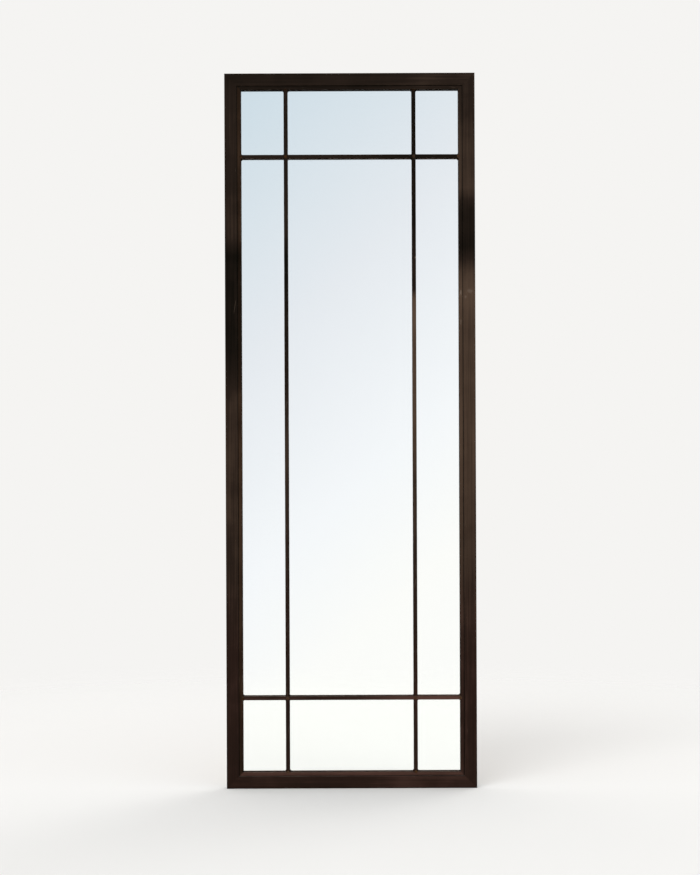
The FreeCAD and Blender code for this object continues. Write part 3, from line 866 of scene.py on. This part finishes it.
# Painted highlight: the lower bar lighter on its right half, and the bottom bead lighter all along
LOWER_BAR_HIGHLIGHT_TONES = (((0.0, 0.48), (1.0, 0.48)), ((0.0, 0.82), (1.0, 0.82)))
BOTTOM_BEAD_HIGHLIGHT_TONES = (((0.0, 0.74), (1.0, 0.74)), ((0.0, 0.62), (1.0, 0.62)))
CROSSING_SIDES = (((0.0, 0.32), (1.0, 0.46)), ((0.2, 0.40), (0.8, 0.18)))
BAR_END_SIDES = (((0.0, 0.28), (0.93, 0.20), (0.96, 0.0)), ((0.0, 0.42), (0.93, 0.34), (0.96, 0.0)))

# Streaks run along the length of each piece
ALONG_UPRIGHT = (1, 1, 0.02)
ALONG_LEVEL = (0.02, 1, 1)
ALL_WAYS = (0.5, 1, 0.5)

# Pale spots on the right side, partly chips where the finish came off and partly painted highlights: place
# across and up, half width and half height, strength
CHIPS_AND_HIGHLIGHTS = ((0.3095, 1.384, 2.2 * MM, 9 * MM, 0.6), (0.3335, 1.389, 11 * MM, 6 * MM, 0.18),
          (0.3225, 1.372, 3 * MM, 5 * MM, 0.2), (0.3095, 1.303, 1.6 * MM, 8 * MM, 0.3),
          (0.1835, 1.484, 2.6 * MM, 5 * MM, 0.9))
PALE_SPOT_DEPTH = 5 * MM
PALE_SPOT_EDGE = (1.1, 0.5)
PALE_SPOT_RAGGED = 0.5

# Where the tones of the two sides meet, where the redder foot begins, and how dark the painted shade on
# undersides gets
SIDES_MEET = (0.03, 0.2)
FOOT_BEGINS = (0.34, 0.16)
UNDERSIDE = (-0.4, -0.9)
UNDERSIDE_SHADE = -0.4

# How the three shades of a bronze lie on the scale of tones, and how far patches and streaks stray on it
SHADE_TONES = (0.0, 0.42, 1.0)
PATCH_AMOUNTS = (("Blotch", 0.09), ("Streak", 0.10))

# Wear of the arrises and how far from a mitre it starts, and how rough the bronze and its scratches are
ARRIS_WEAR = 0.35
MITRE_CLEAR = (3 * MM, 9 * MM)
BRONZE_ROUGH = (0.32, 0.46)
SCRATCH_ROUGH = 0.2


def bronzed_steel(name, stretch, sides=FRAME_SIDES, lift=0.0, upper=BRONZE, foot=FOOT_BRONZE,
                  glance=GLANCE):
    """Hand-rubbed dark bronze: darker and lighter lengths, partly patina and partly painted reflection,
    painted shade on undersides and in grooves, streaks along the steel, worn arrises.
    """
    material, tree, shader = new_material(name)
    grain = use_group(tree, drawn_grain, stretch=stretch)
    edges = use_group(tree, worn_edges, reach=2.5 * MM)
    marks = use_group(tree, scuffs, stretch=stretch, amount=0.4)
    shade_and_dust = use_group(tree, settled_dirt, reach=6 * MM)
    place = add_node(tree, "SeparateXYZ", {"Vector": surface_place(tree)})
    height = calculate(tree, "DIVIDE", place.outputs["Z"], frame_height)
    # Tones over the height, partly patina and partly painted reflection
    left, right = [ramp(tree, height, [(share, (tone,) * 3) for share, tone in side]) for side in sides]
    across = spread(tree, place.outputs["X"], *SIDES_MEET)
    tone = calculate(tree, "ADD", blend_colours(tree, across, left, right), lift)
    # Undersides are darkened with painted shade
    facing = add_node(tree, "SeparateXYZ", {"Vector": add_node(tree, "NewGeometry").outputs["Normal"]})
    tone = calculate(tree, "ADD", tone, spread(tree, facing.outputs["Z"], *UNDERSIDE, 0.0, UNDERSIDE_SHADE))
    for output, amount in PATCH_AMOUNTS:
        drift = vary(tree, grain.outputs[output], -amount, amount, "LINEAR")
        tone = calculate(tree, "ADD", tone, drift)
    brown, reddish = [ramp(tree, tone, list(zip(SHADE_TONES, shades))) for shades in (upper, foot)]
    colour = blend_colours(tree, spread(tree, height, *FOOT_BEGINS), brown, reddish)
    # The mitres are ground flush and show no wear, so wear starts a little away from them
    from_side = calculate(tree, "SUBTRACT", frame_half, calculate(tree, "ABSOLUTE", place.outputs["X"], 0.0))
    from_top = calculate(tree, "SUBTRACT", frame_height, place.outputs["Z"])
    from_end = calculate(tree, "MINIMUM", place.outputs["Z"], from_top)
    from_mitre = calculate(tree, "ABSOLUTE", calculate(tree, "SUBTRACT", from_side, from_end), 0.0)
    worn = spread(tree, from_mitre, *MITRE_CLEAR, 0.0, ARRIS_WEAR)
    wear = calculate(tree, "MULTIPLY", edges.outputs["Mask"], worn)
    colour = blend_colours(tree, wear, colour, BARE_BRONZE)
    colour = blend_colours(tree, marks.outputs["Scratch"], colour, BARE_BRONZE)
    colour = blend_colours(tree, marks.outputs["Spot"], colour, BARE_BRONZE)
    chips_and_highlights = CHIPS_AND_HIGHLIGHTS if stretch == ALONG_UPRIGHT else ()
    # Pale spots on the right side, partly chips and partly painted highlights
    for x, z, half_width, half_height, strength in chips_and_highlights:
        offset = add_node(tree, "VectorMath", {0: surface_place(tree), 1: (x, frame_front, z)},
                          operation="SUBTRACT").outputs[0]
        shares = (1 / half_width, 1 / PALE_SPOT_DEPTH, 1 / half_height)
        apart = add_node(tree, "VectorMath", {0: offset, 1: shares}, operation="MULTIPLY").outputs[0]
        apart = add_node(tree, "VectorMath", {0: apart}, operation="LENGTH").outputs["Value"]
        ragged = vary(tree, grain.outputs["Ragged"], -PALE_SPOT_RAGGED, PALE_SPOT_RAGGED, "LINEAR")
        pale_spot = spread(tree, calculate(tree, "ADD", apart, ragged), *PALE_SPOT_EDGE, 0.0, strength)
        colour = blend_colours(tree, pale_spot, colour, CHIP_AND_HIGHLIGHT)
    # Painted shade in the grooves, in the darkest bronze, then pale dust on faces that look up
    colour = blend_colours(tree, shade_and_dust.outputs["Grime"], colour, DARK_BRONZE)
    colour = blend_colours(tree, shade_and_dust.outputs["Dust"], colour, LEDGE_DUST)
    rough = vary(tree, grain.outputs["Blotch"], *BRONZE_ROUGH, "LINEAR")
    scratched = calculate(tree, "MULTIPLY", marks.outputs["Scratch"], SCRATCH_ROUGH)
    skin = bump(tree, grain.outputs["Skin"], distance=0.05 * MM, strength=0.25)
    relief = bump(tree, grain.outputs["Streak"], distance=0.12 * MM, strength=0.3, under=skin)
    set_inputs(tree, shader, {"Base Color": colour, "Roughness": calculate(tree, "ADD", rough, scratched),
                              "Metallic": 0.9, "Specular IOR Level": 0.2, "Specular Tint": (*glance, 1),
                              "Normal": relief})
    return material


# Tints of the glass and of its silver, and the other finishes from dark to pale, worn or scratched
GLASS_TINTS = ((0.985, 0.995, 0.992), (0.992, 1.0, 0.997))
SILVER_TINTS = ((0.978, 0.984, 0.982), (0.99, 0.994, 0.99))
ZINC = ((0.3, (0.44, 0.44, 0.42)), (0.55, (0.58, 0.57, 0.53)), (0.75, (0.66, 0.67, 0.68)))
BRIGHT_ZINC = (0.78, 0.78, 0.77)
SCRATCHED_ZINC = (0.33, 0.32, 0.30)
BOARD = ((0.28, (0.28, 0.183, 0.106)), (0.5, (0.39, 0.268, 0.163)), (0.74, (0.50, 0.368, 0.238)))
PALE_BOARD = (0.46, 0.33, 0.205)
CLOUDED_BOARD = (0.32, 0.21, 0.125)
CHIP_BOARD = (0.21, 0.13, 0.075)
RUBBED_BOARD = (0.24, 0.155, 0.09)
SCRATCHED_BOARD = (0.55, 0.43, 0.30)
CARD = ((0.3, (0.36, 0.335, 0.295)), (0.7, (0.50, 0.47, 0.42)))
CARD_FLECKS = (0.24, 0.21, 0.18)
RUBBER = ((0.35, (0.013, 0.013, 0.0135)), (0.7, (0.042, 0.041, 0.039)))
RUBBED_RUBBER = (0.085, 0.083, 0.08)

# The most roughness of smears and silver, and the ranges over which clouds and flecks set in
SMEARS = (0.45, 0.8)
SMEAR_ROUGH = 0.006
SILVER_ROUGH = 0.004
BOARD_DRIFTS = (0.38, 0.66)
BOARD_CLOUDS = (0.4, 0.7)
BOARD_CHIPS = (0.64, 0.74)
FLECKS = (0.66, 0.74)

# How far the rubbed colours come through on edges, and how much rougher dust makes rubber
BOARD_RUB = 0.6
RUBBER_RUB = 0.5
DUST_ROUGH = 0.2


def clear_glass():
    """The glass itself, with the faintest smears."""
    material, tree, shader = new_material("clear_glass")
    smear = noise(tree, surface_place(tree), scale=6, detail=6)
    tint = blend_colours(tree, smear, *GLASS_TINTS)
    rough = spread(tree, smear, *SMEARS, 0.0, SMEAR_ROUGH)
    set_inputs(tree, shader, {"Base Color": tint, "Roughness": rough, "IOR": 1.52,
                              "Transmission Weight": 1.0})
    return material


def silvering():
    """The silver on the back of the glass."""
    material, tree, shader = new_material("silvering")
    cloud = noise(tree, surface_place(tree), scale=3, detail=3)
    tint = blend_colours(tree, cloud, *SILVER_TINTS)
    rough = vary(tree, cloud, 0.0, SILVER_ROUGH)
    set_inputs(tree, shader, {"Base Color": tint, "Roughness": rough, "Metallic": 1.0})
    return material


def zinc_plate():
    """Bright zinc on small steel pieces, handled and a little dulled."""
    material, tree, shader = new_material("zinc_plate")
    place = surface_place(tree)
    marks = use_group(tree, scuffs, stretch=(1, 1, 0.1), amount=0.7)
    edges = use_group(tree, worn_edges, reach=0.5 * MM)
    bloom = noise(tree, place, scale=160, detail=5)
    colour = ramp(tree, bloom, ZINC)
    colour = blend_colours(tree, edges.outputs["Mask"], colour, BRIGHT_ZINC)
    colour = blend_colours(tree, marks.outputs["Scratch"], colour, SCRATCHED_ZINC)
    rough = vary(tree, bloom, low=0.22, high=0.42)
    plated = noise(tree, place, scale=1500, detail=2)
    relief = bump(tree, plated, distance=0.03 * MM, strength=0.4)
    set_inputs(tree, shader, {"Base Color": colour, "Roughness": rough, "Metallic": 1.0, "Normal": relief})
    return material


def raw_fibreboard():
    """Pressed wood fibre: short pale and dark fibres, clouding, dark chips, rubbed edges."""
    material, tree, shader = new_material("raw_fibreboard")
    place = surface_place(tree)
    marks = use_group(tree, scuffs, stretch=(0.7, 0.7, 0.02), amount=0.3)
    edges = use_group(tree, worn_edges, reach=3 * MM)
    drawn = add_node(tree, "Mapping", {"Vector": place, "Scale": (1, 1, 0.45)}).outputs[0]
    fibres = noise(tree, drawn, scale=1200, detail=5, roughness=0.7)
    drifts = spread(tree, noise(tree, place, scale=1.6, detail=3), *BOARD_DRIFTS, to_high=0.3)
    clouds = spread(tree, noise(tree, place, scale=5, detail=5), *BOARD_CLOUDS, to_high=0.42)
    chips = spread(tree, noise(tree, drawn, scale=330, detail=2), *BOARD_CHIPS, to_high=0.5)
    colour = ramp(tree, fibres, BOARD)
    colour = blend_colours(tree, drifts, colour, PALE_BOARD)
    colour = blend_colours(tree, clouds, colour, CLOUDED_BOARD)
    colour = blend_colours(tree, chips, colour, CHIP_BOARD)
    rubbed = calculate(tree, "MULTIPLY", edges.outputs["Mask"], BOARD_RUB)
    colour = blend_colours(tree, rubbed, colour, RUBBED_BOARD)
    colour = blend_colours(tree, marks.outputs["Scratch"], colour, SCRATCHED_BOARD)
    rough = vary(tree, fibres, low=0.72, high=0.9)
    relief = bump(tree, fibres, distance=0.12 * MM, strength=0.5)
    set_inputs(tree, shader, {"Base Color": colour, "Roughness": rough, "Specular IOR Level": 0.25,
                              "Normal": relief})
    return material


def grey_card():
    """Recycled board with flecks."""
    material, tree, shader = new_material("grey_card")
    place = surface_place(tree)
    pulp = noise(tree, place, scale=500, detail=5)
    flecks = spread(tree, noise(tree, place, scale=260, detail=2), *FLECKS)
    colour = blend_colours(tree, flecks, ramp(tree, pulp, CARD), CARD_FLECKS)
    rough = vary(tree, pulp, low=0.8, high=0.95)
    relief = bump(tree, pulp, distance=0.1 * MM, strength=0.5)
    set_inputs(tree, shader, {"Base Color": colour, "Roughness": rough, "Normal": relief})
    return material


def black_rubber(name, grit, least_rough):
    """Moulded black rubber or foam, greyed with dust."""
    material, tree, shader = new_material(name)
    place = surface_place(tree)
    grain = noise(tree, place, scale=grit, detail=3)
    dust = noise(tree, place, scale=45, detail=6)
    edges = use_group(tree, worn_edges, reach=1.2 * MM)
    rubbed = calculate(tree, "MULTIPLY", edges.outputs["Mask"], RUBBER_RUB)
    colour = blend_colours(tree, rubbed, ramp(tree, dust, RUBBER), RUBBED_RUBBER)
    rough = vary(tree, dust, least_rough, least_rough + DUST_ROUGH)
    relief = bump(tree, grain, distance=0.1 * MM, strength=0.5)
    set_inputs(tree, shader, {"Base Color": colour, "Roughness": rough, "Normal": relief})
    return material


def dress(piece, slot, *materials):
    """Gives a piece its finish; the slot argument is not used."""
    piece.data.materials.clear()
    for material in materials:
        piece.data.materials.append(material)


def dress_node(node, material):
    """Gives a CAD node that stays its finish."""
    piece = frame["nodes"][node]
    for place in piece.material_slots:
        place.material = material


upright_bronze = bronzed_steel("upright_bronze", ALONG_UPRIGHT)
level_bronze = bronzed_steel("level_bronze", ALONG_LEVEL)
upright_bar_bronze = bronzed_steel("upright_bar_bronze", ALONG_UPRIGHT, LATTICE_SIDES)
own_bronze = {
    "bottom_rail_tube": bronzed_steel("bottom_rail_bronze", ALONG_LEVEL, lift=0.11),
    "left_bead_bar": bronzed_steel("left_bead_bronze", ALONG_UPRIGHT, lift=0.06, upper=WARM_BRONZE,
                                   foot=WARM_BRONZE),
    "right_bead_bar": bronzed_steel("right_bead_bronze", ALONG_UPRIGHT, lift=0.06),
    # Darkened in colour and in the light it glances off, as painted shade under the top rail
    "top_bead_bar": bronzed_steel("top_bead_bronze", ALONG_LEVEL, lift=-0.14, glance=DARK_GLANCE),
    # Lightened with painted highlight
    "bottom_bead_bar": bronzed_steel("bottom_bead_bronze", ALONG_LEVEL, BOTTOM_BEAD_HIGHLIGHT_TONES),
    "left_bar_square": upright_bar_bronze,
    "right_bar_square": upright_bar_bronze,
    "upper_bar_square": bronzed_steel("upper_bar_bronze", ALONG_LEVEL, LATTICE_SIDES),
    # Lightened on its right half with painted highlight
    "lower_bar_square": bronzed_steel("lower_bar_bronze", ALONG_LEVEL, LOWER_BAR_HIGHLIGHT_TONES),
}
for piece in frame_pieces:
    runs_level = piece.name.split("_")[0] in ("top", "bottom")
    finish = own_bronze.get(piece.name, level_bronze if runs_level else upright_bronze)
    dress(piece, "bronzed_steel", finish)
for piece, name, sides in zip(weld_pieces, ("crossing_copper", "bar_end_copper"),
                              (CROSSING_SIDES, BAR_END_SIDES)):
    copper = bronzed_steel(name, ALL_WAYS, sides, upper=WELD_COPPER, foot=WELD_COPPER)
    dress(piece, "bronzed_steel", copper)

dress(glass_sheet, "mirror", clear_glass(), silvering())
for face in glass_sheet.data.polygons:
    face.material_index = 1 if face.normal.y > PARALLEL else 0

zinc = zinc_plate()
for piece in button_pieces + hanger_pieces + [button_screws, hanger_screws]:
    dress(piece, "zinc_steel", zinc)
dress(bumpers, "rubber", black_rubber("bumper_rubber", grit=900, least_rough=0.55))
foam = black_rubber("tape_foam", grit=2200, least_rough=0.75)
block_rubber = black_rubber("block_rubber", grit=1200, least_rough=0.6)
dress_node("glazing_tape", foam)
dress_node("setting_blocks", block_rubber)
dress_node("edge_spacers", block_rubber)
dress_node("card_liner", grey_card())
dress_node("back_panel", raw_fibreboard())


# Studio: a pale floor that fades into a pale surround, soft light, and the photograph's viewpoint

PALE = (0.913, 0.905, 0.888)
FLOOR_TONE = (0.823, 0.816, 0.799)
FLOOR_IN_GLASS = (0.95, 0.955, 0.895)
FLOOR_RADIUS = 3.2
FLOOR_FADE = (1.5, 0.97 * FLOOR_RADIUS)
FLOOR_LEFT_IN_GLASS = 0.3
SUN_DISTANCE = 4
CAMERA_DISTANCE = 5.5
VIEW_HEIGHT = 2.446
AIM = Vector((-0.002, 0, 0.981))
CAMERA_ROLL = math.radians(0.22)

# What the mirror shows, from white below to blue-grey above, leaning up to the left
SKY = ((0.05, (0.997, 0.993, 0.971)), (0.27, (0.936, 0.953, 0.976)),
       (0.6, (0.809, 0.838, 0.882)), (1.0, (0.63, 0.735, 0.808)))
SKY_SPAN = (-0.12, 0.22)
LEAN_REACH = 0.12
LEAN = 0.108
ASIDE_REACH = 0.5
ASIDE_RISE = 0.45
ROOM_LIGHT = (0.9, 0.9, 0.9)


def lay_floor():
    """A pale disc that keeps the shadow and fades out at its rim."""
    floor = add_object("floor", bpy.ops.mesh.primitive_circle_add, vertices=96, radius=FLOOR_RADIUS,
                       fill_type="NGON", location=(0, 0, 0))
    material, tree, shader = new_material("pale_floor")
    path = add_node(tree, "LightPath")
    mirrored = calculate(tree, "MAXIMUM", path.outputs["Is Glossy Ray"], path.outputs["Is Transmission Ray"])
    tone = blend_colours(tree, mirrored, FLOOR_TONE, FLOOR_IN_GLASS)
    reach = add_node(tree, "VectorMath", {0: surface_place(tree)}, operation="LENGTH").outputs["Value"]
    fade = spread(tree, reach, *FLOOR_FADE, 1.0, 0.0)
    # In the glass the floor melts into the surround, so the foot of the mirror stays clear
    melt = spread(tree, mirrored, 0.0, 1.0, 1.0, FLOOR_LEFT_IN_GLASS, "LINEAR")
    set_inputs(tree, shader, {"Base Color": tone, "Alpha": calculate(tree, "MULTIPLY", fade, melt),
                              "Roughness": 1.0, "Specular IOR Level": 0.0})
    floor.data.materials.append(material)


def light_surround():
    """Even light for the object, a sky for what the glass shows, and a pale background."""
    world = bpy.data.worlds.new("studio")
    bpy.context.scene.world = world
    world.use_nodes = True
    tree = world.node_tree
    way = add_node(tree, "SeparateXYZ", {"Vector": add_node(tree, "TexCoord").outputs["Generated"]})
    across = way.outputs["X"]
    lean = spread(tree, across, -LEAN_REACH, LEAN_REACH, LEAN, -LEAN, "LINEAR")
    # Seen from either side, the glass shows the upper part too
    off_centre = calculate(tree, "ABSOLUTE", across, 0.0)
    aside = spread(tree, off_centre, LEAN_REACH, ASIDE_REACH, 0.0, ASIDE_RISE)
    rise = calculate(tree, "ADD", calculate(tree, "ADD", way.outputs["Z"], lean), aside)
    sky = ramp(tree, spread(tree, rise, *SKY_SPAN, kind="LINEAR"), SKY)
    path = add_node(tree, "LightPath")
    mirrored = calculate(tree, "MAXIMUM", path.outputs["Is Glossy Ray"], path.outputs["Is Transmission Ray"])
    seen = blend_colours(tree, mirrored, ROOM_LIGHT, sky)
    seen = blend_colours(tree, path.outputs["Is Camera Ray"], seen, PALE)
    set_inputs(tree, tree.nodes["Background"], {"Color": seen})


def add_sun(name, towards, strength, softness):
    """A sun that shines in one direction, softened by its breadth in degrees."""
    sun = add_object(name, bpy.ops.object.light_add, type="SUN", location=-SUN_DISTANCE * towards)
    sun.rotation_euler = towards.to_track_quat("-Z", "Y").to_euler()
    sun.data.energy = strength
    sun.data.angle = math.radians(softness)


def set_camera():
    """The viewpoint of the photograph, straight in front."""
    camera = add_object("photo_view", bpy.ops.object.camera_add, rotation=(math.pi / 2, CAMERA_ROLL, 0),
                        location=(AIM.x, frame_front - CAMERA_DISTANCE, AIM.z))
    camera.data.lens = camera.data.sensor_width * CAMERA_DISTANCE / VIEW_HEIGHT
    bpy.context.scene.camera = camera


lay_floor()
light_surround()
add_sun("key_sun", towards=Vector((0.45, 0.8, -1.0)), strength=0.75, softness=30)
add_sun("back_sun", towards=Vector((-0.6, -0.8, -0.8)), strength=0.4, softness=30)
set_camera()
bpy.context.scene.view_settings.view_transform = "Standard"
